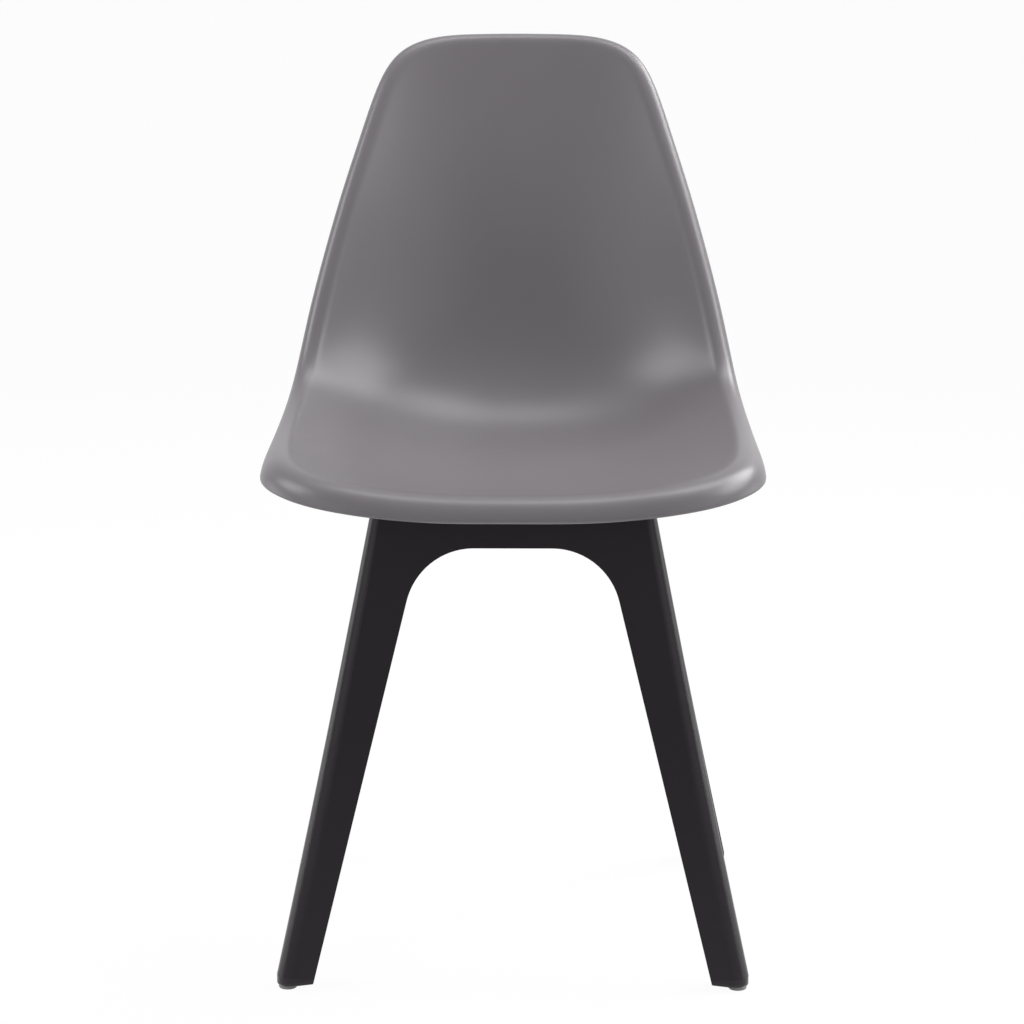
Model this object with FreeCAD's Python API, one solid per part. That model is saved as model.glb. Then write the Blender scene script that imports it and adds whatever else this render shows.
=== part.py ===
import FreeCAD, Part
import math
import os

# Moulded plastic shell chair, in millimetres and degrees.
# X runs across the seat, -Y is the front, Z is up. The origin is on the floor,
# under the middle of the chair. The two leg frames meet on the plane Y = 0.

# Seat shell: one moulding of even wall, shaped on a centre line that runs from the
# front crest over the seat, round the bend and up the back.
SHELL_WALL = 4.5
CREST_Y = -243.3
CREST_Z = 460.6
SEAT_CENTRE = 330.0
LINE_STEP = 4.0
LINE_LENGTH = 780.0

# Angle of the centre line above the horizontal, every HEADING_SPACING along it: a seat
# that falls slightly to the rear, the bend, and a back that curls forward at the top.
HEADINGS = (-3.5, -4.0, -2.5, -0.8, 0.8, 10.0, 36.9, 62.5, 72.9, 75.4, 72.5, 71.0, 70.7, 68.9)
HEADING_SPACING = 60.0

# Sideways rise of the shell at LIFT_WIDTH from the centre line, every LIFT_SPACING
# along it.
LIFTS = (18.0, 30.6, 38.3, 58.1, 82.8, 91.0, 90.4, 91.4, 90.2, 93.8, 95.9, 96.4)
LIFT_SPACING = 90.0
LIFT_WIDTH = 200.0
LIFT_POWER = 2.5

# Half of the shell's outline at the foot of the rolled rim, as (half width, distance
# along the centre line), from the front centre to the top centre.
OUTLINE = (
    (0.0, 0.0), (44.3, 0.5), (88.5, 4.4), (154.0, 7.8), (193.6, 45.7),
    (198.5, 78.7), (201.5, 130.0), (201.5, 200.0), (196.5, 280.0), (189.5, 360.0),
    (183.2, 440.0), (170.0, 510.0), (154.1, 575.0), (137.1, 635.0), (121.6, 693.5),
    (105.2, 726.5), (72.8, 741.5), (32.5, 744.5), (0.0, 745.0),
)

# Rolled rim: its radius from the front centre to the top, and how far it rolls over.
ROLL_RADII = (22.0, 26.0, 25.0, 13.0, 12.0, 12.0, 12.0, 12.0, 12.0)
ROLL_END = 82.0

# Stations of one section: rings out to the rim, then steps round the roll and the edge.
RINGS = (0.12, 0.25, 0.38, 0.51, 0.63, 0.73, 0.81, 0.875, 0.925, 0.955, 0.978, 0.992, 1.0)
ROLL_STEPS = 6
EDGE_STEPS = 4
COLUMNS = 64

# Bosses and ribs under the seat.
BOSS_X = 92.0
FRONT_BOSS_Y = -105.0
REAR_BOSS_Y = 80.0
BOSS_DIAMETER = 28.0
RIB_WIDTH = 2.6
RIB_BOTTOM = 431.0

# Leg frames: half widths of the hollow block that both frames are cut from,
# as foot value, lean and bow over the height.
FRAME_TOP = 434.0
FRAME_WALL = 4.5
HALF_X_FOOT = 216.9
LEAN_X = 0.2185
HALF_Y_FOOT = 221.5
LEAN_Y = 0.15
BOW = 3.0e-5
CORNER_FOOT = 18.0
CORNER_TOP = 10.0
HEEL_TOP = 11.5

# Arches between the legs.
FRONT_ARCH_FOOT = 182.0
FRONT_ARCH_LEAN = 0.2459
FRONT_ARCH_TOP = 398.5
FRONT_ARCH_RADIUS = 62.0
SIDE_ARCH_FOOT = 189.0
SIDE_ARCH_LEAN = 0.178
SIDE_ARCH_TOP = 390.0
SIDE_ARCH_RADIUS = 50.0

# Stiffening inside the frames.
LIP_WIDTH = 3.5
LIP_DEPTH = 14.0
DECK_TOP = 422.0
DECK_THICKNESS = 5.0
DECK_OPENING_X = 62.0
DECK_OPENING_Y = 132.0
DECK_OPENING_RADIUS = 20.0
CROSSBAR_RIB_PITCH = 30.0
CROSSBAR_RIBS = 5
LEG_RIB_WIDTH = 2.4
LEG_RIB_BOTTOM = 46.0
LEG_RIB_PITCH = 26.0
LEG_RIBS = 11
LEG_RIB_TILT = 35.0
TIE_FLANGE = 4.5
TIE_FLANGE_X = 84.0

# Foot caps and glides.
SOLE_TILT = 7.0
SOLE_HEIGHT = 3.4
SOLE_PLATE = 3.2
SOLE_EDGE = 2.0
SPIGOT_TOP = 30.0
SPIGOT_GAP = 0.3
GLIDE_X = 204.0
GLIDE_Y = 207.5
GLIDE_DIAMETER = 17.0
GLIDE_HEIGHT = 4.4
GLIDE_EDGE = 1.6
GLIDE_STEM = 6.0
GLIDE_STEM_TOP = 20.0
GLIDE_FIT = 0.1

# Seat joint: soft pad, threaded insert, bolt and washer at each boss.
PAD_THICKNESS = 4.0
PAD_DIAMETER = 30.0
PAD_HOLE = 9.0
INSERT_DIAMETER = 8.4
INSERT_LENGTH = 11.0
SEAT_BOLT = 6.0
SEAT_BOLT_END = 436.0
SEAT_BOLT_HEAD = 10.5
SEAT_BOLT_HEAD_HEIGHT = 3.3
SEAT_BOLT_KEY = 4.0
SEAT_WASHER = 13.0
SEAT_WASHER_THICKNESS = 1.6
SEAT_BOLT_HOLE = 6.6

# Tie joint between the two frames.
TIE_X = (96.0, 116.0)
TIE_Z = 405.0
TIE_BOLT = 5.0
TIE_HOLE = 5.5
TIE_HEAD = 9.5
TIE_HEAD_HEIGHT = 2.8
TIE_KEY = 3.0
TIE_WASHER = 10.0
TIE_WASHER_THICKNESS = 1.0
TIE_NUT = 8.0
TIE_NUT_HEIGHT = 4.7
TIE_BOLT_PROUD = 1.5

SIDES = (-1.0, 1.0)
UP = FreeCAD.Vector(0, 0, 1)
FAR = 400.0


def box(x0, x1, y0, y1, z0, z1):
    return Part.makeBox(x1 - x0, y1 - y0, z1 - z0, FreeCAD.Vector(x0, y0, z0))


def rod(x, y, z0, z1, diameter):
    return Part.makeCylinder(0.5 * diameter, z1 - z0, FreeCAD.Vector(x, y, z0), UP)


def tie_rod(x, y0, y1, diameter):
    start = FreeCAD.Vector(x, y0, TIE_Z)
    return Part.makeCylinder(0.5 * diameter, y1 - y0, start, FreeCAD.Vector(0, 1, 0))


def hexagon(across_flats, start, along):
    """Hexagonal prism from the point start along the vector along."""
    side = FreeCAD.Vector(1, 0, 0)
    turn = FreeCAD.Rotation(along, 60.0)
    corner = side * (across_flats / math.sqrt(3.0))
    corners = []
    for _ in range(6):
        corners.append(start + corner)
        corner = turn.multVec(corner)
    return Part.Face(Part.makePolygon(corners + corners[:1])).extrude(along)


def rounded_wire(points, radii):
    """Closed wire through the points, each corner rounded by its radius."""
    edges = []
    ends = []
    for i, corner in enumerate(points):
        before = (points[i - 1] - corner).normalize()
        after = (points[(i + 1) % len(points)] - corner).normalize()
        if radii[i] == 0.0:
            ends.append((corner, corner))
            continue
        half = 0.5 * before.getAngle(after)
        reach = radii[i] / math.tan(half)
        middle = corner + (before + after).normalize() * (radii[i] / math.sin(half) - radii[i])
        start = corner + before * reach
        end = corner + after * reach
        ends.append((start, end))
        edges.append(Part.Arc(start, middle, end).toShape())
    for i in range(len(points)):
        start = ends[i][1]
        end = ends[(i + 1) % len(points)][0]
        edges.append(Part.LineSegment(start, end).toShape())
    return Part.Wire(Part.__sortEdges__(edges))


def mirror_x(shape):
    return shape.mirror(FreeCAD.Vector(0, 0, 0), FreeCAD.Vector(1, 0, 0))


def mirror_y(shape):
    return shape.mirror(FreeCAD.Vector(0, 0, 0), FreeCAD.Vector(0, 1, 0))


# Seat shell


def spline_weights(f):
    return (
        (1.0 - f) ** 3 / 6.0,
        (3.0 * f ** 3 - 6.0 * f * f + 4.0) / 6.0,
        (-3.0 * f ** 3 + 3.0 * f * f + 3.0 * f + 1.0) / 6.0,
        f ** 3 / 6.0,
    )


def mirrored(values, i):
    """Value i of a list that is mirrored at both ends."""
    last = len(values) - 1
    i = abs(i)
    return values[2 * last - i if i > last else i]


def spline_value(values, t):
    """Smooth value at t, counted in steps along a list mirrored at both ends."""
    i = min(int(t), len(values) - 2)
    weights = spline_weights(t - i)
    return sum(weights[k] * mirrored(values, i - 1 + k) for k in range(4))


def heading(s):
    """Angle of the centre line above the horizontal at the distance s."""
    return math.radians(spline_value(HEADINGS, max(s, 0.0) / HEADING_SPACING))


def centre_line():
    points = [(CREST_Y, CREST_Z)]
    for i in range(int(LINE_LENGTH / LINE_STEP)):
        y, z = points[-1]
        angle = heading((i + 0.5) * LINE_STEP)
        points.append((y + LINE_STEP * math.cos(angle), z + LINE_STEP * math.sin(angle)))
    return points


CENTRE_LINE = centre_line()


def centre_point(s):
    i = max(int(s // LINE_STEP), 0)
    y, z = CENTRE_LINE[i]
    rest = s - i * LINE_STEP
    angle = heading(s - 0.5 * rest)
    return y + rest * math.cos(angle), z + rest * math.sin(angle)


def outline_point(u):
    """Outline at u: 0 front centre, 0.5 top centre, 1 front centre again."""
    half = len(OUTLINE) - 1
    t = (u % 1.0) * 2 * half
    i = int(t)
    weights = spline_weights(t - i)
    x = 0.0
    s = 0.0
    for k in range(4):
        j = (i - 1 + k) % (2 * half)
        side = 1.0 if j <= half else -1.0
        width, along = OUTLINE[min(j, 2 * half - j)]
        x += weights[k] * side * width
        s += weights[k] * along
    return x, s


def rim_value(values, u):
    """Value of a rim list at u, the same on both sides."""
    u = u % 1.0
    return spline_value(values, 2.0 * min(u, 1.0 - u) * (len(values) - 1))


def sheet_point(x, s):
    """Point of the seating surface at half width x and distance s."""
    y, z = centre_point(s)
    angle = heading(s)
    rise = spline_value(LIFTS, max(s, 0.0) / LIFT_SPACING) * (abs(x) / LIFT_WIDTH) ** LIFT_POWER
    return FreeCAD.Vector(x, y - rise * math.sin(angle), z + rise * math.cos(angle))


def ring_point(u, r):
    """Point of the seating surface on the ring r, where 1 is the foot of the rim."""
    x, s = outline_point(u)
    return sheet_point(r * x, SEAT_CENTRE + r * (s - SEAT_CENTRE))


def ring_frame(u, r):
    """Surface normal, outward direction and seat normal at a ring point."""
    e = 1e-4
    along = (ring_point(u + e, r) - ring_point(u - e, r)).normalize()
    out = (ring_point(u, r + e) - ring_point(u, r - e)).normalize()
    angle = heading(SEAT_CENTRE + r * (outline_point(u)[1] - SEAT_CENTRE))
    seat_normal = FreeCAD.Vector(0, -math.sin(angle), math.cos(angle))
    normal = along.cross(out).normalize()
    if normal.dot(seat_normal) < 0.0:
        normal = normal * -1.0
    square = along.cross(normal).normalize()
    if square.dot(out) < 0.0:
        square = square * -1.0
    return normal, square, seat_normal


def shell_section(u):
    """Points from near the seat centre out over the rim and back underneath."""
    points = [ring_point(u, r) for r in RINGS]
    normal, out, seat_normal = ring_frame(u, 1.0 - 1e-3)
    radius = rim_value(ROLL_RADII, u)
    end = math.asin(max(-1.0, min(1.0, out.dot(seat_normal)))) + math.radians(ROLL_END)
    centre = points[-1] - normal * radius

    def on_roll(angle, r):
        return centre + normal * (r * math.cos(angle)) + out * (r * math.sin(angle))

    for k in range(1, ROLL_STEPS + 1):
        points.append(on_roll(end * k / ROLL_STEPS, radius))
    half = 0.5 * SHELL_WALL
    middle = on_roll(end, radius - half)
    radial = (points[-1] - middle).normalize()
    ahead = out * math.cos(end) - normal * math.sin(end)
    for k in range(1, EDGE_STEPS):
        angle = math.pi * k / EDGE_STEPS
        points.append(middle + radial * (half * math.cos(angle)) + ahead * (half * math.sin(angle)))
    for k in range(ROLL_STEPS, 0, -1):
        points.append(on_roll(end * k / ROLL_STEPS, radius - SHELL_WALL))
    for r in reversed(RINGS):
        under = ring_frame(u, min(r, 1.0 - 1e-3))[0]
        points.append(ring_point(u, r) - under * SHELL_WALL)
    return points


def smoothed(before, point, after):
    """Control value that makes a cubic spline pass close to the point."""
    return point - (before - point * 2.0 + after) * (1.0 / 6.0)


def shell_skin():
    """Closed skin of the shell as one smooth periodic surface with two poles."""
    sections = [shell_section(i / COLUMNS) for i in range(COLUMNS)]
    top = sheet_point(0.0, SEAT_CENTRE)
    angle = heading(SEAT_CENTRE)
    under = top - FreeCAD.Vector(0, -math.sin(angle), math.cos(angle)) * SHELL_WALL
    last = len(sections[0]) - 1
    net = []
    for i, points in enumerate(sections):
        line = [top] + points + [under]
        opposite = sections[(i + COLUMNS // 2) % COLUMNS]
        column = [top, top + (points[0] - opposite[0]) * (1.0 / 6.0)]
        for k in range(1, len(line) - 1):
            column.append(smoothed(line[k - 1], line[k], line[k + 1]))
        column.append(under + (points[last] - opposite[last]) * (1.0 / 6.0))
        column.append(under)
        net.append(column)
    rows = len(net[0])
    poles = []
    for i in range(COLUMNS):
        before = net[i - 1]
        here = net[i]
        after = net[(i + 1) % COLUMNS]
        poles.append([smoothed(before[k], here[k], after[k]) for k in range(rows)])
    surface = Part.BSplineSurface()
    surface.buildFromPolesMultsKnots(
        poles,
        [1] * (COLUMNS + 1),
        [4] + [1] * (rows - 4) + [4],
        [float(k) for k in range(COLUMNS + 1)],
        [float(k) for k in range(rows - 2)],
        True,
        False,
        3,
        3,
    )
    solid = Part.Solid(Part.Shell([surface.toShape()]))
    if solid.Volume < 0.0:
        solid.reverse()
    return solid


def wall_middle(x, y):
    """Middle of the shell's wall above the point (x, y), with the wall's normal."""
    low = 0.0
    high = 0.5 * LINE_LENGTH
    for _ in range(40):
        s = 0.5 * (low + high)
        if sheet_point(x, s).y < y:
            low = s
        else:
            high = s
    across = sheet_point(x + 0.5, s) - sheet_point(x - 0.5, s)
    along = sheet_point(x, s + 0.5) - sheet_point(x, s - 0.5)
    normal = across.cross(along).normalize()
    drop = UP * (0.5 * SHELL_WALL / normal.z)
    return sheet_point(x, s) - drop, normal


def seat_boss(x, y):
    middle, normal = wall_middle(x, y)
    column = rod(x, y, DECK_TOP + PAD_THICKNESS, middle.z + BOSS_DIAMETER, BOSS_DIAMETER)
    size = 3.0 * BOSS_DIAMETER
    above = Part.makeBox(size, size, size, FreeCAD.Vector(-0.5 * size, -0.5 * size, 0))
    above.Placement = FreeCAD.Placement(middle, FreeCAD.Rotation(UP, normal))
    return column.cut(above)


def seat_rib(x0, y0, x1, y1):
    """Upright rib between two points, with its top inside the shell's wall."""
    steps = 12
    start = FreeCAD.Vector(x0, y0, RIB_BOTTOM)
    end = FreeCAD.Vector(x1, y1, RIB_BOTTOM)
    side = (end - start).cross(UP).normalize() * (0.5 * RIB_WIDTH)
    points = [start - side, end - side]
    for k in range(steps, -1, -1):
        t = k / steps
        points.append(wall_middle(x0 + t * (x1 - x0), y0 + t * (y1 - y0))[0] - side)
    return Part.Face(Part.makePolygon(points + points[:1])).extrude(side * 2.0)


def boss_places():
    return [(side * BOSS_X, y) for y in (FRONT_BOSS_Y, REAR_BOSS_Y) for side in SIDES]


def seat_shell():
    extras = [seat_boss(x, y) for x, y in boss_places()]
    for side in SIDES:
        extras.append(seat_rib(side * BOSS_X, FRONT_BOSS_Y, side * BOSS_X, REAR_BOSS_Y))
    for y in (FRONT_BOSS_Y, REAR_BOSS_Y):
        extras.append(seat_rib(-BOSS_X, y, BOSS_X, y))
    shell = shell_skin().fuse(extras)
    bottom = DECK_TOP + PAD_THICKNESS
    pockets = [rod(x, y, bottom, bottom + INSERT_LENGTH, INSERT_DIAMETER) for x, y in boss_places()]
    return shell.cut(pockets)


# Leg frames


def half_x(z):
    return HALF_X_FOOT - LEAN_X * z + BOW * z * z


def half_y(z):
    return HALF_Y_FOOT - LEAN_Y * z + BOW * z * z


def corner_radius(z):
    return CORNER_FOOT + (CORNER_TOP - CORNER_FOOT) * z / FRAME_TOP


def block_wire(inset, shape_z, z):
    """Rounded rectangle of the block at the height shape_z, drawn at the height z."""
    x = half_x(shape_z) - inset
    y = half_y(shape_z) - inset
    radius = max(corner_radius(shape_z) - inset, 1.0)
    corners = [
        FreeCAD.Vector(x, y, z),
        FreeCAD.Vector(-x, y, z),
        FreeCAD.Vector(-x, -y, z),
        FreeCAD.Vector(x, -y, z),
    ]
    return rounded_wire(corners, [radius] * 4)


def frame_block(inset, bottom, top):
    """Tapering block inside the outer faces of both frames, upright over the heel."""
    middle = 0.5 * (HEEL_TOP + top)
    wires = [block_wire(inset, z, z) for z in (HEEL_TOP, middle, top)]
    upper = Part.makeLoft(wires, True, False)
    heel = Part.Face(block_wire(inset, HEEL_TOP, bottom)).extrude(UP * (HEEL_TOP - bottom))
    return upper.fuse(heel)


def arch(foot, lean, top, radius, grow, across, through):
    """Opening between two legs, grown by a margin, as a prism along through."""
    slant = grow * math.hypot(1.0, lean)
    low = -FRAME_WALL * 4.0
    low_half = foot - lean * low + slant
    high_half = foot - lean * (top + grow) + slant
    corners = [
        across * -low_half + UP * low,
        across * low_half + UP * low,
        across * high_half + UP * (top + grow),
        across * -high_half + UP * (top + grow),
    ]
    round_top = radius + grow
    wire = rounded_wire(corners, [0.0, 0.0, round_top, round_top])
    face = Part.Face(wire)
    face.translate(through * -FAR)
    return face.extrude(through * (2.0 * FAR))


def front_arch(grow=0.0):
    return arch(
        FRONT_ARCH_FOOT, FRONT_ARCH_LEAN, FRONT_ARCH_TOP, FRONT_ARCH_RADIUS, grow,
        FreeCAD.Vector(1, 0, 0), FreeCAD.Vector(0, 1, 0),
    )


def side_arch(grow=0.0):
    return arch(
        SIDE_ARCH_FOOT, SIDE_ARCH_LEAN, SIDE_ARCH_TOP, SIDE_ARCH_RADIUS, grow,
        FreeCAD.Vector(0, 1, 0), FreeCAD.Vector(1, 0, 0),
    )


def sole_height(x):
    """Height of the sloping sole at the distance x from the middle."""
    return SOLE_HEIGHT + (GLIDE_X - x) * math.tan(math.radians(SOLE_TILT))


def below_sole(raise_by):
    """Everything below the plane of the right-hand soles, raised by a margin."""
    corners = [
        FreeCAD.Vector(0, -FAR, sole_height(0.0) + raise_by),
        FreeCAD.Vector(FAR, -FAR, sole_height(FAR) + raise_by),
        FreeCAD.Vector(FAR, -FAR, -FAR),
        FreeCAD.Vector(0, -FAR, -FAR),
    ]
    face = Part.Face(Part.makePolygon(corners + corners[:1]))
    return face.extrude(FreeCAD.Vector(0, 2.0 * FAR, 0))


def rib_space():
    """Corner of the right front leg that its ribs fill, up to a slanting free side."""
    wires = []
    for z in (0.0, SIDE_ARCH_TOP):
        inner_x = FRONT_ARCH_FOOT - FRONT_ARCH_LEAN * z
        inner_y = SIDE_ARCH_LEAN * z - SIDE_ARCH_FOOT
        corners = [
            FreeCAD.Vector(inner_x, -FAR, z),
            FreeCAD.Vector(FAR, -FAR, z),
            FreeCAD.Vector(FAR, inner_y, z),
            FreeCAD.Vector(half_x(z) - LIP_DEPTH, inner_y, z),
            FreeCAD.Vector(inner_x, LIP_DEPTH - half_y(z), z),
        ]
        wires.append(Part.makePolygon(corners + corners[:1]))
    return Part.makeLoft(wires, True, True)


def leg_ribs(column):
    """Zigzag ribs inside the right front leg."""
    ribs = []
    for i in range(LEG_RIBS):
        z = LEG_RIB_BOTTOM + i * LEG_RIB_PITCH
        x = 0.5 * (half_x(z) + FRONT_ARCH_FOOT - FRONT_ARCH_LEAN * z)
        slab = box(-50, 50, -FAR, 0, -0.5 * LEG_RIB_WIDTH, 0.5 * LEG_RIB_WIDTH)
        tilt = LEG_RIB_TILT if i % 2 else -LEG_RIB_TILT
        slab.rotate(FreeCAD.Vector(0, 0, 0), FreeCAD.Vector(0, 1, 0), tilt)
        slab.translate(FreeCAD.Vector(x, 0, z))
        ribs.append(slab.common(column))
    return ribs


def bare_frame():
    """Front half of the hollow block with its arches, lips, deck and ribs."""
    front = box(-FAR, FAR, -FAR, 0, -FAR, 2.0 * FAR)
    outer = frame_block(0.0, -10.0, FRAME_TOP).common(front)
    cavity = frame_block(FRAME_WALL, -20.0, FRAME_TOP + 10.0)
    reach = frame_block(0.5 * FRAME_WALL, -10.0, FRAME_TOP).common(front)
    core = frame_block(LIP_DEPTH, -20.0, FRAME_TOP + 10.0)
    openings = front_arch().fuse(side_arch())
    band = outer.cut(core)
    parts = [band.common(front_arch(LIP_WIDTH)), band.common(side_arch(LIP_WIDTH))]
    deck = reach.common(box(-FAR, FAR, -FAR, FAR, DECK_TOP - DECK_THICKNESS, DECK_TOP))
    parts.append(deck.cut(deck_opening()))
    for side in SIDES:
        inner, outer_x = sorted((side * TIE_FLANGE_X, side * FAR))
        plate = box(inner, outer_x, -TIE_FLANGE, 0, SIDE_ARCH_TOP, DECK_TOP - 1.0)
        parts.append(plate.common(reach))
    for i in range(CROSSBAR_RIBS):
        x = (i - 0.5 * (CROSSBAR_RIBS - 1)) * CROSSBAR_RIB_PITCH
        half = 0.5 * LEG_RIB_WIDTH
        plate = box(x - half, x + half, -FAR, 0, FRONT_ARCH_TOP + 1.0, DECK_TOP - 1.0)
        parts.append(plate.common(reach).cut(core))
    frame = outer.cut(cavity).fuse(parts).cut(openings)
    right_leg = reach.common(box(0, FAR, -FAR, 0, -10.0, FRAME_TOP)).cut(openings)
    ribs = leg_ribs(right_leg.common(rib_space()))
    ribs += [mirror_x(rib) for rib in ribs]
    cuts = [below_sole(SOLE_PLATE), mirror_x(below_sole(SOLE_PLATE))]
    for x in tie_places():
        cuts.append(tie_rod(x, -2.0 * TIE_FLANGE, TIE_FLANGE, TIE_HOLE))
    return frame.fuse(ribs).cut(cuts)


def deck_opening():
    corners = [
        FreeCAD.Vector(DECK_OPENING_X, DECK_OPENING_Y, 0),
        FreeCAD.Vector(-DECK_OPENING_X, DECK_OPENING_Y, 0),
        FreeCAD.Vector(-DECK_OPENING_X, -DECK_OPENING_Y, 0),
        FreeCAD.Vector(DECK_OPENING_X, -DECK_OPENING_Y, 0),
    ]
    wire = rounded_wire(corners, [DECK_OPENING_RADIUS] * 4)
    return Part.Face(wire).extrude(UP * (2.0 * FAR))


def with_bolt_holes(frame, y):
    bottom = DECK_TOP - 2.0 * DECK_THICKNESS
    holes = [rod(side * BOSS_X, y, bottom, DECK_TOP + 1.0, SEAT_BOLT_HOLE) for side in SIDES]
    return frame.cut(holes)


# Feet


def foot_cap():
    """Cap of the right front leg: a sloping sole plate with a plug inside the leg."""
    quarter = box(0, FAR, -FAR, 0, -10.0, SPIGOT_TOP)
    column = frame_block(0.0, -10.0, FRAME_TOP).common(quarter)
    column = column.cut(front_arch()).cut(side_arch())
    plate = column.common(below_sole(SOLE_PLATE)).cut(below_sole(0.0))
    lowest = [edge for edge in plate.Edges if is_sole_edge(edge)]
    plate = plate.makeFillet(SOLE_EDGE, lowest)
    plug = frame_block(FRAME_WALL + SPIGOT_GAP, -10.0, FRAME_TOP).common(quarter)
    margin = LIP_WIDTH + SPIGOT_GAP
    plug = plug.cut(front_arch(margin)).cut(side_arch(margin)).cut(below_sole(SOLE_PLATE - 1.0))
    cap = plate.fuse(plug)
    recess = rod(GLIDE_X, -GLIDE_Y, -10.0, GLIDE_HEIGHT, GLIDE_DIAMETER + 2.0 * GLIDE_FIT)
    bore = rod(GLIDE_X, -GLIDE_Y, 0.0, GLIDE_STEM_TOP + 1.0, GLIDE_STEM + 2.0 * GLIDE_FIT)
    return cap.cut([recess, bore])


def is_sole_edge(edge):
    """True for an edge that lies in the sole plane."""
    return all(abs(v.Z - sole_height(v.X)) < 0.01 for v in edge.Vertexes)


def foot_glide():
    disc = rod(GLIDE_X, -GLIDE_Y, 0.0, GLIDE_HEIGHT, GLIDE_DIAMETER)
    rim = [edge for edge in disc.Edges if abs(edge.BoundBox.ZMax) < 0.01]
    disc = disc.makeChamfer(GLIDE_EDGE, rim)
    return disc.fuse(rod(GLIDE_X, -GLIDE_Y, 1.0, GLIDE_STEM_TOP, GLIDE_STEM))


# Fasteners


def spacer_pad(x, y):
    ring = rod(x, y, DECK_TOP, DECK_TOP + PAD_THICKNESS, PAD_DIAMETER)
    return ring.cut(rod(x, y, DECK_TOP, DECK_TOP + PAD_THICKNESS, PAD_HOLE))


def thread_insert(x, y):
    bottom = DECK_TOP + PAD_THICKNESS
    sleeve = rod(x, y, bottom, bottom + INSERT_LENGTH, INSERT_DIAMETER)
    return sleeve.cut(rod(x, y, bottom, bottom + INSERT_LENGTH, SEAT_BOLT))


def seat_washer(x, y):
    top = DECK_TOP - DECK_THICKNESS
    ring = rod(x, y, top - SEAT_WASHER_THICKNESS, top, SEAT_WASHER)
    return ring.cut(rod(x, y, top - SEAT_WASHER_THICKNESS, top, SEAT_BOLT_HOLE))


def seat_bolt(x, y):
    seat = DECK_TOP - DECK_THICKNESS - SEAT_WASHER_THICKNESS
    bottom = seat - SEAT_BOLT_HEAD_HEIGHT
    head = rod(x, y, bottom, seat, SEAT_BOLT_HEAD)
    rim = [edge for edge in head.Edges if abs(edge.BoundBox.ZMax - bottom) < 0.01]
    head = head.makeChamfer(0.45 * SEAT_BOLT_HEAD_HEIGHT, rim)
    bolt = head.fuse(rod(x, y, seat - 1.0, SEAT_BOLT_END, SEAT_BOLT))
    depth = UP * (0.6 * SEAT_BOLT_HEAD_HEIGHT)
    return bolt.cut(hexagon(SEAT_BOLT_KEY, FreeCAD.Vector(x, y, bottom), depth))


def tie_places():
    return [side * x for side in SIDES for x in TIE_X]


def tie_washers(x):
    rings = []
    for start in (-TIE_FLANGE - TIE_WASHER_THICKNESS, TIE_FLANGE):
        end = start + TIE_WASHER_THICKNESS
        rings.append(tie_rod(x, start, end, TIE_WASHER).cut(tie_rod(x, start, end, TIE_HOLE)))
    return rings


def tie_bolt(x):
    seat = -TIE_FLANGE - TIE_WASHER_THICKNESS
    tip = TIE_FLANGE + TIE_WASHER_THICKNESS + TIE_NUT_HEIGHT + TIE_BOLT_PROUD
    head = tie_rod(x, seat - TIE_HEAD_HEIGHT, seat, TIE_HEAD)
    bolt = head.fuse(tie_rod(x, seat - 1.0, tip, TIE_BOLT))
    start = FreeCAD.Vector(x, seat - TIE_HEAD_HEIGHT, TIE_Z)
    return bolt.cut(hexagon(TIE_KEY, start, FreeCAD.Vector(0, 0.6 * TIE_HEAD_HEIGHT, 0)))


def tie_nut(x):
    start = TIE_FLANGE + TIE_WASHER_THICKNESS
    along = FreeCAD.Vector(0, TIE_NUT_HEIGHT, 0)
    nut = hexagon(TIE_NUT, FreeCAD.Vector(x, start, TIE_Z), along)
    return nut.cut(tie_rod(x, start, start + TIE_NUT_HEIGHT, TIE_BOLT))


def export(name, shape):
    shape.exportStep("parts/" + name + ".step")


def export_corners(name, shape):
    """Write a right front piece and its mirror images at the other corners."""
    export(name + "_front_right", shape)
    export(name + "_front_left", mirror_x(shape))
    export(name + "_rear_right", mirror_y(shape))
    export(name + "_rear_left", mirror_y(mirror_x(shape)))


def build():
    os.makedirs("parts", exist_ok=True)
    export("seat_shell", seat_shell())
    frame = bare_frame()
    export("front_leg_frame", with_bolt_holes(frame, FRONT_BOSS_Y))
    export("rear_leg_frame", with_bolt_holes(mirror_y(frame), REAR_BOSS_Y))
    export_corners("foot_cap", foot_cap())
    export_corners("foot_glide", foot_glide())
    for x, y in boss_places():
        end = "front" if y < 0.0 else "rear"
        side = "right" if x > 0.0 else "left"
        export("spacer_pad_" + end + "_" + side, spacer_pad(x, y))
    places = boss_places()
    export("thread_inserts", Part.makeCompound([thread_insert(x, y) for x, y in places]))
    export("seat_washers", Part.makeCompound([seat_washer(x, y) for x, y in places]))
    export("seat_bolts", Part.makeCompound([seat_bolt(x, y) for x, y in places]))
    rings = [ring for x in tie_places() for ring in tie_washers(x)]
    export("tie_washers", Part.makeCompound(rings))
    export("tie_bolts", Part.makeCompound([tie_bolt(x) for x in tie_places()]))
    export("tie_nuts", Part.makeCompound([tie_nut(x) for x in tie_places()]))


build()
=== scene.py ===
import math

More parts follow.
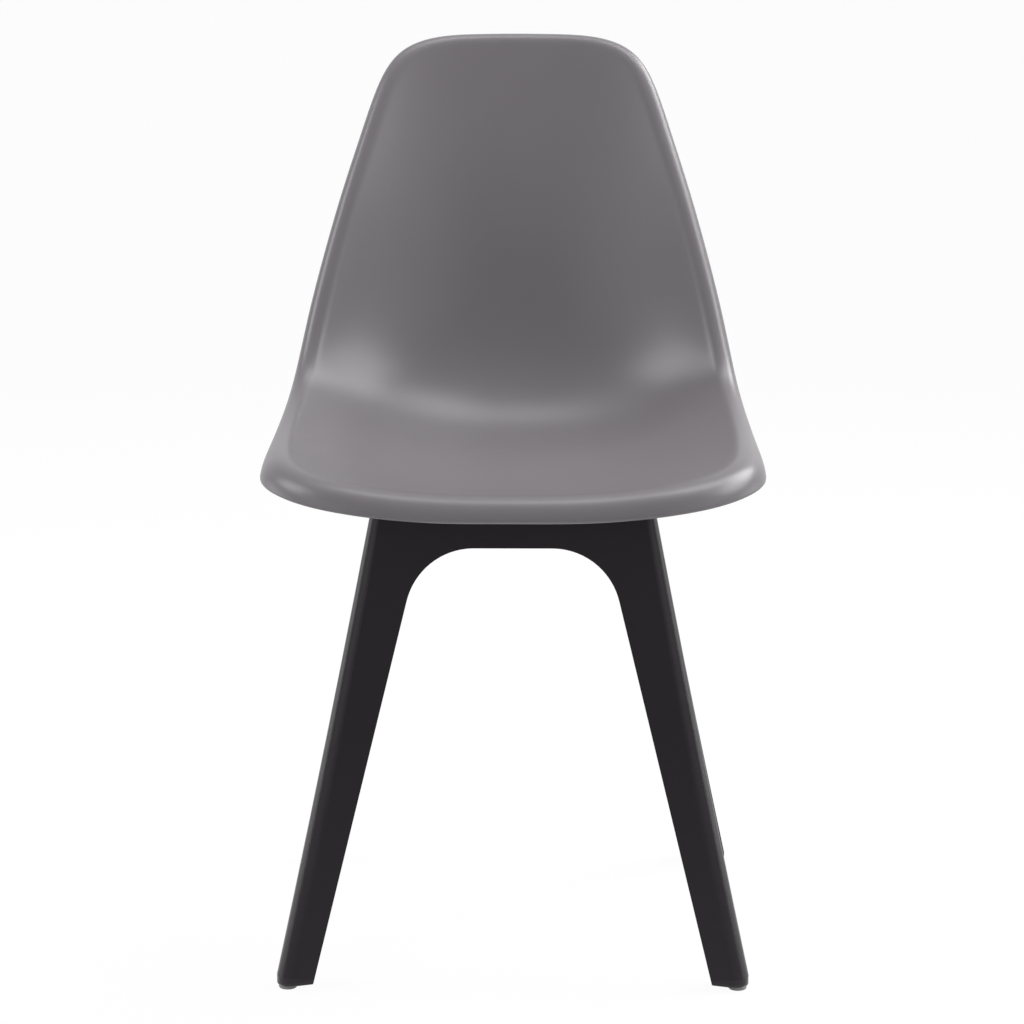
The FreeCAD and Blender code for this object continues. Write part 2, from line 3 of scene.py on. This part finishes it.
import bpy
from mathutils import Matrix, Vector


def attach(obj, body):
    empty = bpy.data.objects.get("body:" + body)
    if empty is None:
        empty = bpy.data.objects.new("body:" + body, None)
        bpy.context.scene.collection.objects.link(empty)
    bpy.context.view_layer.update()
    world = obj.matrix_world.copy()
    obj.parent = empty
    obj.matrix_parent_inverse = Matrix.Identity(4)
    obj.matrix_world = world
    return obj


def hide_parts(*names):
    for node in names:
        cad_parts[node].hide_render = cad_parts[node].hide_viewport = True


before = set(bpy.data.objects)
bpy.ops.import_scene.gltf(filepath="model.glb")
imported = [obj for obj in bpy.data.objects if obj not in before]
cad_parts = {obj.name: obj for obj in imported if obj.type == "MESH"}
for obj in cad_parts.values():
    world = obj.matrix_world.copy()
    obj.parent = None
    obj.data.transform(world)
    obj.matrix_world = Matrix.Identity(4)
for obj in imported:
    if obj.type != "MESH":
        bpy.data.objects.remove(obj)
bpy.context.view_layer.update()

# Moulded plastic shell chair. The shapes below are worked out in millimetres, in the
# frame of the CAD model, and become metres when a mesh is made.
MM = 0.001

# Seat shell: the CAD model's section values. Its centre line runs from the front crest
# over the seat, round the bend and up the back.
SHELL_WALL = 4.5
CREST_Y = -243.3
CREST_Z = 460.6
SEAT_CENTRE = 330.0
LINE_STEP = 4.0
LINE_LENGTH = 780.0

# Angle of the centre line above the horizontal, every HEADING_SPACING along it.
HEADINGS = (-3.5, -4.0, -2.5, -0.8, 0.8, 10.0, 36.9, 62.5, 72.9, 75.4, 72.5, 71.0, 70.7, 68.9)
HEADING_SPACING = 60.0

# Sideways rise of the shell at LIFT_WIDTH from the centre line, every LIFT_SPACING
# along it. It grows with the distance from the centre line to the power LIFT_POWER.
LIFTS = (18.0, 30.6, 38.3, 58.1, 82.8, 91.0, 90.4, 91.4, 90.2, 93.8, 95.9, 96.4)
LIFT_SPACING = 90.0
LIFT_WIDTH = 200.0
LIFT_POWER = 2.5

# Half of the shell's outline at the foot of the rolled rim, as (half width, distance
# along the centre line), from the front centre to the top centre.
OUTLINE = (
    (0.0, 0.0), (44.3, 0.5), (88.5, 4.4), (154.0, 7.8), (193.6, 45.7),
    (198.5, 78.7), (201.5, 130.0), (201.5, 200.0), (196.5, 280.0), (189.5, 360.0),
    (183.2, 440.0), (170.0, 510.0), (154.1, 575.0), (137.1, 635.0), (121.6, 693.5),
    (105.2, 726.5), (72.8, 741.5), (32.5, 744.5), (0.0, 745.0),
)

# Rolled rim: its radius from the front centre to the top, and how far it rolls over.
ROLL_RADII = (22.0, 26.0, 25.0, 13.0, 12.0, 12.0, 12.0, 12.0, 12.0)
ROLL_END = 82.0

# Share of the roll's radius over which the visible face curves in before and after the
# foot of the roll, and the ring from which this is worked out.
RIM_EASE = 0.4
RIM_ZONE = 0.85

# Fineness of the shell's mesh: rings from the middle of the seat to the rim, which
# crowd together towards the rim, then steps round the roll and its edge. Ring number m
# is a square of 8 m points, so RIM_COLUMNS of them lie on the rim.
RINGS = 44
RING_CROWDING = 1.4
RIM_COLUMNS = 8 * RINGS
ROLL_STEPS = 14
EDGE_STEPS = 6

# Directions on the surface come from points this far to each side, and are taken no
# nearer than this to the middle of the seat and to the foot of the roll.
FRAME_STEP = 1e-4
FRAME_MARGIN = 1e-3

# Steps round each boss, pad and glide, steps that halve the way to a place on the centre
# line, and the distance in metres within which points on a lathe's axis become one.
ROUND_STEPS = 40
SEARCH_STEPS = 30
WELD_DISTANCE = 1e-6

# Names of the chair's four corners, in the order of the places below.
CORNERS = ("front_left", "front_right", "rear_left", "rear_right")

# Bosses with their pockets below the seat, with the rounding of their lower edge as
# (distance in from the side, distance above the bottom) and the pocket's chamfer.
BOSS_X = 92.0
FRONT_BOSS_Y = -105.0
REAR_BOSS_Y = 80.0
BOSS_PLACES = [(side * BOSS_X, y) for y in (FRONT_BOSS_Y, REAR_BOSS_Y) for side in (-1.0, 1.0)]
BOSS_RADIUS = 14.0
BOSS_BOTTOM = 426.0
BOSS_EDGE = ((0.8, 0.0), (0.2, 0.3), (0.0, 0.9))
POCKET_RADIUS = 4.2
POCKET_TOP = 437.0
POCKET_CHAMFER = 0.6

# Ribs, each between two of the bosses, with the rounding of their lower edge.
RIB_RUNS = ((0, 2), (1, 3), (0, 1), (2, 3))
RIB_WIDTH = 2.6
RIB_BOTTOM = 431.0
RIB_EDGE = ((0.1, 0.6), (0.5, 0.0))
RIB_STEPS = 40

# Flare of a boss or rib into the shell's underside, as (spread, distance below it). The
# last row lies inside the wall.
FLARE = ((0.0, 5.0), (0.15, 3.2), (0.6, 1.6), (1.4, 0.6), (2.6, 0.0), (3.0, -0.8))

# Rubber pads under the bosses.
PAD_BOTTOM = 422.0
PAD_RADIUS = 15.0
PAD_HOLE = 4.5
PAD_EDGE = 0.6

# Foot glides: a disc with a rounded sole and a stem that presses into the foot cap. A
# ring of points runs over the flat of the sole at this share of the disc's radius.
GLIDE_X = 204.0
GLIDE_Y = 207.5
GLIDE_PLACES = [(side * GLIDE_X, y) for y in (-GLIDE_Y, GLIDE_Y) for side in (-1.0, 1.0)]
GLIDE_RADIUS = 8.5
GLIDE_HEIGHT = 4.4
GLIDE_SOLE_RING = 0.35
GLIDE_SOLE_EDGE = 2.0
GLIDE_TOP_EDGE = 0.4
GLIDE_STEM = 3.0
GLIDE_STEM_TOP = 20.0
GLIDE_STEM_ROOT = 0.3
GLIDE_STEM_EDGE = 0.6


# Camera: its place in metres, its pitch and yaw in degrees, its lens and sensor in
# millimetres.

CAMERA_PLACE = Vector((0.024, -2.950, 0.940))
CAMERA_PITCH = 10.345
CAMERA_YAW = 0.5125
CAMERA_LENS = 110.95
CAMERA_SENSOR = 36.0


def make_camera():
    data = bpy.data.cameras.new("camera")
    data.lens = CAMERA_LENS
    data.sensor_width = CAMERA_SENSOR
    camera = bpy.data.objects.new("camera", data)
    camera.location = CAMERA_PLACE
    camera.rotation_euler = (math.radians(90.0 - CAMERA_PITCH), 0.0, math.radians(CAMERA_YAW))
    bpy.context.scene.collection.objects.link(camera)
    bpy.context.scene.camera = camera


# Shape of the seat shell


def spline_weights(f):
    """Weights of four values in a row at the share f of the way from the second to the
    third, for a smooth curve that rounds them off."""
    return (
        (1.0 - f) ** 3 / 6.0,
        (3.0 * f ** 3 - 6.0 * f * f + 4.0) / 6.0,
        (-3.0 * f ** 3 + 3.0 * f * f + 3.0 * f + 1.0) / 6.0,
        f ** 3 / 6.0,
    )


def mirrored(values, i):
    """Value i of a list that is mirrored at both ends."""
    last = len(values) - 1
    i = abs(i)
    return values[2 * last - i if i > last else i]


def spline_value(values, t):
    """Smooth value at t, counted in steps along a list mirrored at both ends."""
    i = min(int(t), len(values) - 2)
    weights = spline_weights(t - i)
    return sum(weights[k] * mirrored(values, i - 1 + k) for k in range(4))


def heading(s):
    """Angle of the centre line above the horizontal at the distance s."""
    return math.radians(spline_value(HEADINGS, max(s, 0.0) / HEADING_SPACING))


def centre_line():
    """Points (y, z) of the centre line, LINE_STEP apart."""
    points = [(CREST_Y, CREST_Z)]
    for i in range(int(LINE_LENGTH / LINE_STEP)):
        y, z = points[-1]
        angle = heading((i + 0.5) * LINE_STEP)
        points.append((y + LINE_STEP * math.cos(angle), z + LINE_STEP * math.sin(angle)))
    return points


CENTRE_LINE = centre_line()


def centre_point(s):
    """Point (y, z) of the centre line at the distance s."""
    i = max(int(s // LINE_STEP), 0)
    y, z = CENTRE_LINE[i]
    rest = s - i * LINE_STEP
    angle = heading(s - 0.5 * rest)
    return y + rest * math.cos(angle), z + rest * math.sin(angle)


def outline_point(u):
    """Outline at u: 0 front centre, 0.5 top centre, 1 front centre again."""
    half = len(OUTLINE) - 1
    t = (u % 1.0) * 2 * half
    i = int(t)
    weights = spline_weights(t - i)
    x = 0.0
    s = 0.0
    for k in range(4):
        j = (i - 1 + k) % (2 * half)
        side = 1.0 if j <= half else -1.0
        width, along = OUTLINE[min(j, 2 * half - j)]
        x += weights[k] * side * width
        s += weights[k] * along
    return x, s


def rim_value(values, u):
    """Value of a rim list at u, the same on both sides."""
    u = u % 1.0
    return spline_value(values, 2.0 * min(u, 1.0 - u) * (len(values) - 1))


def sheet_point(x, s):
    """Point of the seating surface at half width x and distance s."""
    y, z = centre_point(s)
    angle = heading(s)
    rise = spline_value(LIFTS, max(s, 0.0) / LIFT_SPACING) * (abs(x) / LIFT_WIDTH) ** LIFT_POWER
    return Vector((x, y - rise * math.sin(angle), z + rise * math.cos(angle)))


def ring_point(u, r):
    """Point of the seating surface on the ring r, where 1 is the foot of the rim."""
    x, s = outline_point(u)
    return sheet_point(r * x, SEAT_CENTRE + r * (s - SEAT_CENTRE))


def ring_frame(u, r):
    """Surface normal, outward direction and seat normal at a ring point."""
    r = min(max(r, FRAME_MARGIN), 1.0 - FRAME_MARGIN)
    along = (ring_point(u + FRAME_STEP, r) - ring_point(u - FRAME_STEP, r)).normalized()
    out = (ring_point(u, r + FRAME_STEP) - ring_point(u, r - FRAME_STEP)).normalized()
    angle = heading(SEAT_CENTRE + r * (outline_point(u)[1] - SEAT_CENTRE))
    seat_normal = Vector((0.0, -math.sin(angle), math.cos(angle)))
    normal = along.cross(out).normalized()
    if normal.dot(seat_normal) < 0.0:
        normal.negate()
    square = along.cross(normal).normalized()
    if square.dot(out) < 0.0:
        square.negate()
    return normal, square, seat_normal


def rim_drop(t, radius, length):
    """Depth below the plain roll at the distance t past its foot, so that the face curves
    in gently before the roll and meets it again at its end."""
    ease = RIM_EASE * radius
    if t < -ease:
        return 0.0
    if t < ease:
        plain = 0.5 * max(t, 0.0) ** 2
        return ((t + ease) ** 3 / (12.0 * ease) - plain) / radius
    f = (t - ease) / (length - ease)
    return ease * ease / (6.0 * radius) * (1.0 - f * f * (3.0 - 2.0 * f))


def roll_end(out, seat_normal):
    """Angle over which the rim rolls: further where the sheet rises towards its rim."""
    return math.asin(max(-1.0, min(1.0, out.dot(seat_normal)))) + math.radians(ROLL_END)


def sheet_drop(u, r):
    """Depth by which the face lies below the plain sheet at a ring point near the rim."""
    out, seat_normal = ring_frame(u, 1.0)[1:]
    radius = rim_value(ROLL_RADII, u)
    t = (ring_point(u, r) - ring_point(u, 1.0)).dot(out)
    return rim_drop(t, radius, roll_end(out, seat_normal) * radius)


def roll_points(u):
    """Points over the rolled rim, round its edge and back to the foot underneath."""
    normal, out, seat_normal = ring_frame(u, 1.0)
    radius = rim_value(ROLL_RADII, u)
    end = roll_end(out, seat_normal)
    centre = ring_point(u, 1.0) - normal * radius

    def on_roll(angle, r):
        r -= rim_drop(angle * radius, radius, end * radius)
        return centre + normal * (r * math.cos(angle)) + out * (r * math.sin(angle))

    angles = [end * k / ROLL_STEPS for k in range(1, ROLL_STEPS + 1)]
    points = [on_roll(angle, radius) for angle in angles]
    half = 0.5 * SHELL_WALL
    middle = on_roll(end, radius - half)
    radial = (points[-1] - middle).normalized()
    ahead = out * math.cos(end) - normal * math.sin(end)
    for k in range(1, EDGE_STEPS):
        turn = math.pi * k / EDGE_STEPS
        points.append(middle + radial * (half * math.cos(turn)) + ahead * (half * math.sin(turn)))
    return points + [on_roll(angle, radius - SHELL_WALL) for angle in reversed(angles)]


def grid_place(a, b):
    """Ring number and turn of the grid point (a, b), on square rings round the middle."""
    m = max(abs(a), abs(b))
    if m == 0:
        return 0, 0.0
    if b == -m:
        i = a
    elif a == m:
        i = 2 * m + b
    elif b == m:
        i = 4 * m - a
    else:
        i = 6 * m - b
    return m, (i % (8 * m)) / (8 * m)


def mesh_object(name, points, faces, material, replaced):
    """Smooth piece from points in millimetres, in the place of a CAD node."""
    mesh = bpy.data.meshes.new(name)
    mesh.from_pydata([p * MM for p in points], [], faces)
    mesh.validate()
    mesh.polygons.foreach_set("use_smooth", [True] * len(mesh.polygons))
    mesh.materials.append(material)
    piece = bpy.data.objects.new(name, mesh)
    bpy.context.scene.collection.objects.link(piece)
    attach(piece, "root")
    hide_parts(replaced)
    return piece


def shell_skin(material):
    """Seat shell as one closed mesh: a square grid on each face, joined round the rim."""
    span = range(-RINGS, RINGS + 1)
    points = []
    faces = []
    top = {}
    under = {}
    rim = {}
    for a in span:
        for b in span:
            m, u = grid_place(a, b)
            r = 1.0 - (1.0 - m / RINGS) ** RING_CROWDING
            point = ring_point(u, r)
            normal = ring_frame(u, r)[0]
            if r > RIM_ZONE:
                point -= normal * sheet_drop(u, r)
            top[a, b] = len(points)
            under[a, b] = len(points) + 1
            points += [point, point - normal * SHELL_WALL]
            if m == RINGS:
                rim[round(u * RIM_COLUMNS)] = (a, b)
    for a in span[:-1]:
        for b in span[:-1]:
            corners = [(a, b), (a + 1, b), (a + 1, b + 1), (a, b + 1)]
            faces.append([top[c] for c in corners])
            faces.append([under[c] for c in reversed(corners)])
    columns = []
    for i in range(RIM_COLUMNS):
        rolled = roll_points(i / RIM_COLUMNS)
        numbers = range(len(points), len(points) + len(rolled))
        columns.append([top[rim[i]], *numbers, under[rim[i]]])
        points += rolled
    for i, column in enumerate(columns):
        after = columns[(i + 1) % RIM_COLUMNS]
        for k in range(len(column) - 1):
            faces.append([column[k], column[k + 1], after[k + 1], after[k]])
    mesh_object("seat_shell_skin", points, faces, material, "seat_shell")


def underside(x, y):
    """Height of the shell's underside above the point (x, y), where the sheet is nearly
    level. Its distance along the centre line is found by halving the front half of it."""
    low = 0.0
    high = 0.5 * LINE_LENGTH
    for _ in range(SEARCH_STEPS):
        s = 0.5 * (low + high)
        if sheet_point(x, s).y < y:
            low = s
        else:
            high = s
    step = 0.5
    across = sheet_point(x + step, s) - sheet_point(x - step, s)
    along = sheet_point(x, s + step) - sheet_point(x, s - step)
    normal = across.cross(along).normalized()
    middle = sheet_point(x, s).z - 0.5 * SHELL_WALL / normal.z
    return middle - 0.5 * SHELL_WALL


def circle(x, y, radius):
    """Places evenly round a circle."""
    turns = [2.0 * math.pi * k / ROUND_STEPS for k in range(ROUND_STEPS)]
    return [(x + radius * math.cos(turn), y + radius * math.sin(turn)) for turn in turns]


def band(low, high):
    """Faces between two circles, whose points are numbered from low and from high."""
    faces = []
    for k in range(ROUND_STEPS):
        after = (k + 1) % ROUND_STEPS
        faces.append([low + k, low + after, high + after, high + k])
    return faces


def shell_bosses(material):
    """Four bosses with their pockets, flared into the underside of the shell."""
    profile = [(POCKET_RADIUS, POCKET_TOP), (POCKET_RADIUS, BOSS_BOTTOM + POCKET_CHAMFER)]
    profile += [(POCKET_RADIUS + POCKET_CHAMFER, BOSS_BOTTOM)]
    profile += [(BOSS_RADIUS - inset, BOSS_BOTTOM + rise) for inset, rise in BOSS_EDGE]
    points = []
    faces = []
    for x, y in BOSS_PLACES:
        first = len(points)
        for radius, z in profile:
            points += [Vector((px, py, z)) for px, py in circle(x, y, radius)]
        for spread, below in FLARE:
            for px, py in circle(x, y, BOSS_RADIUS + spread):
                points.append(Vector((px, py, underside(px, py) - below)))
        faces.append(list(reversed(range(first, first + ROUND_STEPS))))
        for row in range(first, len(points) - ROUND_STEPS, ROUND_STEPS):
            faces += band(row, row + ROUND_STEPS)
    mesh_object("seat_bosses", points, faces, material, "seat_shell")


def rib_flank(middle, side):
    """Points down one flank of a rib, from inside the shell's wall to the rib's bottom."""
    half = 0.5 * RIB_WIDTH
    points = []
    for spread, below in reversed(FLARE):
        place = middle + side * (half + 0.5 * spread)
        points.append(Vector((place.x, place.y, underside(place.x, place.y) - below)))
    for inset, rise in RIB_EDGE:
        place = middle + side * (half - inset)
        points.append(Vector((place.x, place.y, RIB_BOTTOM + rise)))
    return points


def shell_ribs(material):
    """Ribs between the bosses, flared into the underside of the shell."""
    count = 2 * (len(FLARE) + len(RIB_EDGE))
    points = []
    faces = []
    for i, j in RIB_RUNS:
        start = Vector((*BOSS_PLACES[i], 0.0))
        end = Vector((*BOSS_PLACES[j], 0.0))
        side = (end - start).cross(Vector((0.0, 0.0, 1.0))).normalized()
        first = len(points)
        for k in range(RIB_STEPS + 1):
            middle = start.lerp(end, k / RIB_STEPS)
            points += rib_flank(middle, -side)
            points += reversed(rib_flank(middle, side))
        for k in range(RIB_STEPS):
            for a in range(first + k * count, first + (k + 1) * count - 1):
                faces.append([a, a + count, a + 1 + count, a + 1])
    mesh_object("seat_ribs", points, faces, material, "seat_shell")


# Lathed pieces


def lathe(name, x, y, profile, material, replaced):
    """Solid of revolution about a vertical axis from (radius, height) points. A profile
    that starts away from the axis closes on itself, for a piece with a hole."""
    points = []
    faces = []
    for radius, z in profile:
        points += [Vector((px, py, z)) for px, py in circle(x, y, radius)]
    closed = profile[0][0] > 0.0
    for row in range(len(profile) if closed else len(profile) - 1):
        after = (row + 1) % len(profile)
        faces += band(row * ROUND_STEPS, after * ROUND_STEPS)
    piece = mesh_object(name, points, faces, material, replaced)
    weld = piece.modifiers.new("weld", "WELD")
    weld.merge_threshold = WELD_DISTANCE


def rounded_corner(radius, z, size, start, end, steps=5):
    """Quarter round about (radius, z) from the angle start to end, in degrees."""
    corner = []
    for k in range(steps + 1):
        angle = math.radians(start + (end - start) * k / steps)
        corner.append((radius + size * math.cos(angle), z + size * math.sin(angle)))
    return corner


def spacer_pads(material):
    """Rubber rings between the bosses and the leg frames, with rounded edges."""
    inner = PAD_HOLE + PAD_EDGE
    outer = PAD_RADIUS - PAD_EDGE
    low = PAD_BOTTOM + PAD_EDGE
    high = BOSS_BOTTOM - PAD_EDGE
    profile = rounded_corner(inner, low, PAD_EDGE, 180.0, 270.0)
    profile += rounded_corner(outer, low, PAD_EDGE, -90.0, 0.0)
    profile += rounded_corner(outer, high, PAD_EDGE, 0.0, 90.0)
    profile += rounded_corner(inner, high, PAD_EDGE, 90.0, 180.0)
    for name, (x, y) in zip(CORNERS, BOSS_PLACES):
        lathe("rubber_pad_" + name, x, y, profile, material, "spacer_pad_" + name)


def glides(material):
    """Foot glides, from the middle of the sole round the disc and up to the stem's top."""
    sole = GLIDE_RADIUS - GLIDE_SOLE_EDGE
    brim = GLIDE_RADIUS - GLIDE_TOP_EDGE
    stem = GLIDE_STEM - GLIDE_STEM_EDGE
    profile = [(0.0, 0.0), (GLIDE_SOLE_RING * GLIDE_RADIUS, 0.0)]
    profile += rounded_corner(sole, GLIDE_SOLE_EDGE, GLIDE_SOLE_EDGE, -90.0, 0.0, 6)
    profile += rounded_corner(brim, GLIDE_HEIGHT - GLIDE_TOP_EDGE, GLIDE_TOP_EDGE, 0.0, 90.0, 3)
    profile += [(GLIDE_STEM + GLIDE_STEM_ROOT, GLIDE_HEIGHT)]
    profile += [(GLIDE_STEM, GLIDE_HEIGHT + GLIDE_STEM_ROOT)]
    profile += rounded_corner(stem, GLIDE_STEM_TOP - GLIDE_STEM_EDGE, GLIDE_STEM_EDGE, 0.0, 90.0, 3)
    profile += [(0.0, GLIDE_STEM_TOP)]
    for name, (x, y) in zip(CORNERS, GLIDE_PLACES):
        lathe("glide_disc_" + name, x, y, profile, material, "foot_glide_" + name)


# Materials

# Clouds of colour and gloss: features to the metre, detail, and the part of the noise
# over which the colour changes. Then how far the roughness varies to either side, and
# the detail of the moulded grain.
CLOUD_SCALE = 7.0
CLOUD_DETAIL = 3.0
CLOUD_RANGE = (0.3, 0.7)
GLOSS_SPREAD = 0.04
GRAIN_DETAIL = 2.0


def noise(tree, coordinates, scale, detail):
    """Noise over the object's own coordinates, with so many features to the metre."""
    texture = tree.nodes.new("ShaderNodeTexNoise")
    texture.inputs["Scale"].default_value = scale
    texture.inputs["Detail"].default_value = detail
    tree.links.new(coordinates.outputs["Object"], texture.inputs["Vector"])
    return texture.outputs["Fac"]


def plastic(name, colour, roughness, tint, grain_size, grain_depth, shine=0.5):
    """Moulded plastic: its colour varies by the share tint and its gloss a little, and it
    has a fine grain, in millimetres. The shine is the shader's specular level."""
    material = bpy.data.materials.new(name)
    material.use_nodes = True
    tree = material.node_tree
    nodes = tree.nodes
    links = tree.links
    shader = nodes["Principled BSDF"]
    shader.inputs["Specular IOR Level"].default_value = shine
    coordinates = nodes.new("ShaderNodeTexCoord")
    cloud = noise(tree, coordinates, CLOUD_SCALE, CLOUD_DETAIL)
    ramp = nodes.new("ShaderNodeValToRGB")
    for i, sign in enumerate((-1.0, 1.0)):
        stop = ramp.color_ramp.elements[i]
        stop.position = CLOUD_RANGE[i]
        stop.color = [c * (1.0 + sign * tint) for c in colour] + [1.0]
    links.new(cloud, ramp.inputs["Fac"])
    links.new(ramp.outputs["Color"], shader.inputs["Base Color"])
    gloss = nodes.new("ShaderNodeMapRange")
    gloss.inputs["To Min"].default_value = roughness - GLOSS_SPREAD
    gloss.inputs["To Max"].default_value = roughness + GLOSS_SPREAD
    links.new(cloud, gloss.inputs["Value"])
    links.new(gloss.outputs["Result"], shader.inputs["Roughness"])
    grain = noise(tree, coordinates, 1.0 / (grain_size * MM), GRAIN_DETAIL)
    bump = nodes.new("ShaderNodeBump")
    bump.inputs["Distance"].default_value = grain_depth * MM
    bump.inputs["Strength"].default_value = 1.0
    links.new(grain, bump.inputs["Height"])
    links.new(bump.outputs["Normal"], shader.inputs["Normal"])
    return material


def metal(name, colour, roughness):
    """Bare metal, with clouds and a fine grain as on the plastics."""
    material = plastic(name, colour, roughness, tint=0.08, grain_size=0.5, grain_depth=0.01)
    material.node_tree.nodes["Principled BSDF"].inputs["Metallic"].default_value = 1.0
    return material


MATERIALS = {
    "shell_plastic": plastic(
        "grey_polypropylene", (0.130, 0.121, 0.130), roughness=0.33, tint=0.02,
        grain_size=0.6, grain_depth=0.006, shine=0.32,
    ),
    "frame_plastic": plastic(
        "black_polypropylene", (0.007, 0.0042, 0.007), roughness=0.3, tint=0.05,
        grain_size=0.45, grain_depth=0.02, shine=0.34,
    ),
    "cap_plastic": plastic(
        "black_cap", (0.0075, 0.005, 0.0075), roughness=0.32, tint=0.05,
        grain_size=0.45, grain_depth=0.02, shine=0.4,
    ),
    "glide_nylon": plastic(
        "grey_nylon", (0.16, 0.155, 0.16), roughness=0.28, tint=0.05,
        grain_size=0.8, grain_depth=0.01,
    ),
    "pad_rubber": plastic(
        "black_rubber", (0.02, 0.02, 0.02), roughness=0.7, tint=0.05,
        grain_size=0.3, grain_depth=0.03,
    ),
    "brass": metal("turned_brass", (0.72, 0.52, 0.22), roughness=0.32),
    "steel": metal("zinc_steel", (0.6, 0.6, 0.6), roughness=0.34),
}


def dress_nodes():
    """Give every CAD node the material of its slot."""
    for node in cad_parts.values():
        for place in node.material_slots:
            slot = place.material.name.split(".")[0]
            place.material = MATERIALS[slot]


# Studio

WHITE = (1.0, 1.0, 1.0, 1.0)

# Softboxes stand on a ball round the middle of the chair and face it. Each has its
# azimuth from the front towards +X, its elevation, its width and height and its power.
LIGHT_CENTRE = Vector((0.0, 0.0, 0.55))
LIGHT_DISTANCE = 2.6
LIGHTS = (
    ("front_left", -45.0, 16.0, 2.2, 1.6, 12.0),
    ("front_right", 45.0, 16.0, 2.2, 1.6, 11.0),
    ("side_left", -90.0, 38.0, 1.1, 1.1, 27.0),
    ("side_right", 90.0, 38.0, 1.1, 1.1, 29.0),
    ("rear_right", 124.0, 42.0, 1.2, 1.0, 44.0),
    ("top_right", 120.0, 70.0, 1.1, 1.1, 21.0),
    ("top_left", -120.0, 70.0, 1.1, 1.1, 5.0),
    ("top_rear", 180.0, 74.0, 1.1, 0.8, 9.0),
    ("strip_left", -100.0, 2.0, 1.4, 1.2, 12.0),
    ("strip_right", 100.0, 2.0, 1.4, 1.2, 12.0),
)

# Strength of the plain light from all round.
WORLD_STRENGTH = 0.5

# Backdrop, in metres: its reach to the front, back and sides, its height, and the radius
# of the sweep from the floor into the wall.
BACKDROP_FRONT = 1.5
BACKDROP_BACK = 7.0
BACKDROP_SIDE = 9.0
BACKDROP_HEIGHT = 7.5
BACKDROP_SWEEP = 3.0
SWEEP_STEPS = 24

# The backdrop's matt colour, and the share of plain white in what is seen of it.
BACKDROP_COLOUR = (0.8, 0.8, 0.8, 1.0)
BACKDROP_GLOW = 0.95


def softbox(name, azimuth, elevation, width, height, power):
    data = bpy.data.lights.new(name, "AREA")
    data.shape = "RECTANGLE"
    data.size = width
    data.size_y = height
    data.energy = power
    light = bpy.data.objects.new(name, data)
    turn = math.radians(azimuth)
    tilt = math.radians(elevation)
    ahead = Vector((math.sin(turn) * math.cos(tilt), -math.cos(turn) * math.cos(tilt), math.sin(tilt)))
    light.location = LIGHT_CENTRE + ahead * LIGHT_DISTANCE
    light.rotation_euler = ahead.to_track_quat("Z", "Y").to_euler()
    bpy.context.scene.collection.objects.link(light)


def studio_world():
    """Plain light from all round."""
    world = bpy.data.worlds.new("studio")
    bpy.context.scene.world = world
    world.use_nodes = True
    plain = world.node_tree.nodes["Background"]
    plain.inputs["Color"].default_value = WHITE
    plain.inputs["Strength"].default_value = WORLD_STRENGTH


def seen_directly(tree):
    """1 for the rays that show the backdrop: to the camera, in a gloss or through glass."""
    path = tree.nodes.new("ShaderNodeLightPath")
    value = path.outputs["Is Camera Ray"]
    for name in ("Is Glossy Ray", "Is Transmission Ray"):
        either = tree.nodes.new("ShaderNodeMath")
        either.operation = "MAXIMUM"
        tree.links.new(value, either.inputs[0])
        tree.links.new(path.outputs[name], either.inputs[1])
        value = either.outputs["Value"]
    return value


def backdrop_material():
    """Looks white and keeps a faint shadow of the chair."""
    material = bpy.data.materials.new("backdrop_white")
    material.use_nodes = True
    tree = material.node_tree
    tree.nodes.clear()
    links = tree.links
    matt = tree.nodes.new("ShaderNodeBsdfDiffuse")
    matt.inputs["Color"].default_value = BACKDROP_COLOUR
    glow = tree.nodes.new("ShaderNodeEmission")
    glow.inputs["Color"].default_value = WHITE
    glow.inputs["Strength"].default_value = 1.0
    share = tree.nodes.new("ShaderNodeMath")
    share.operation = "MULTIPLY"
    share.inputs[1].default_value = BACKDROP_GLOW
    mix = tree.nodes.new("ShaderNodeMixShader")
    output = tree.nodes.new("ShaderNodeOutputMaterial")
    links.new(seen_directly(tree), share.inputs[0])
    links.new(share.outputs["Value"], mix.inputs["Fac"])
    links.new(matt.outputs["BSDF"], mix.inputs[1])
    links.new(glow.outputs["Emission"], mix.inputs[2])
    links.new(mix.outputs["Shader"], output.inputs["Surface"])
    return material


def backdrop():
    """Floor that sweeps up into a wall behind the chair."""
    foot = BACKDROP_BACK - BACKDROP_SWEEP
    profile = [(-BACKDROP_FRONT, 0.0), (foot, 0.0)]
    for k in range(1, SWEEP_STEPS + 1):
        turn = 0.5 * math.pi * k / SWEEP_STEPS
        y = foot + BACKDROP_SWEEP * math.sin(turn)
        profile.append((y, BACKDROP_SWEEP - BACKDROP_SWEEP * math.cos(turn)))
    profile.append((BACKDROP_BACK, BACKDROP_HEIGHT))
    points = []
    for y, z in profile:
        points += [(-BACKDROP_SIDE, y, z), (BACKDROP_SIDE, y, z)]
    faces = [(2 * k, 2 * k + 1, 2 * k + 3, 2 * k + 2) for k in range(len(profile) - 1)]
    mesh = bpy.data.meshes.new("backdrop")
    mesh.from_pydata(points, [], faces)
    mesh.polygons.foreach_set("use_smooth", [True] * len(mesh.polygons))
    mesh.materials.append(backdrop_material())
    sweep = bpy.data.objects.new("backdrop", mesh)
    bpy.context.scene.collection.objects.link(sweep)


make_camera()
dress_nodes()
shell_skin(MATERIALS["shell_plastic"])
shell_bosses(MATERIALS["shell_plastic"])
shell_ribs(MATERIALS["shell_plastic"])
spacer_pads(MATERIALS["pad_rubber"])
glides(MATERIALS["glide_nylon"])
for light in LIGHTS:
    softbox(*light)
studio_world()
backdrop()
bpy.context.scene.view_settings.view_transform = "Standard"
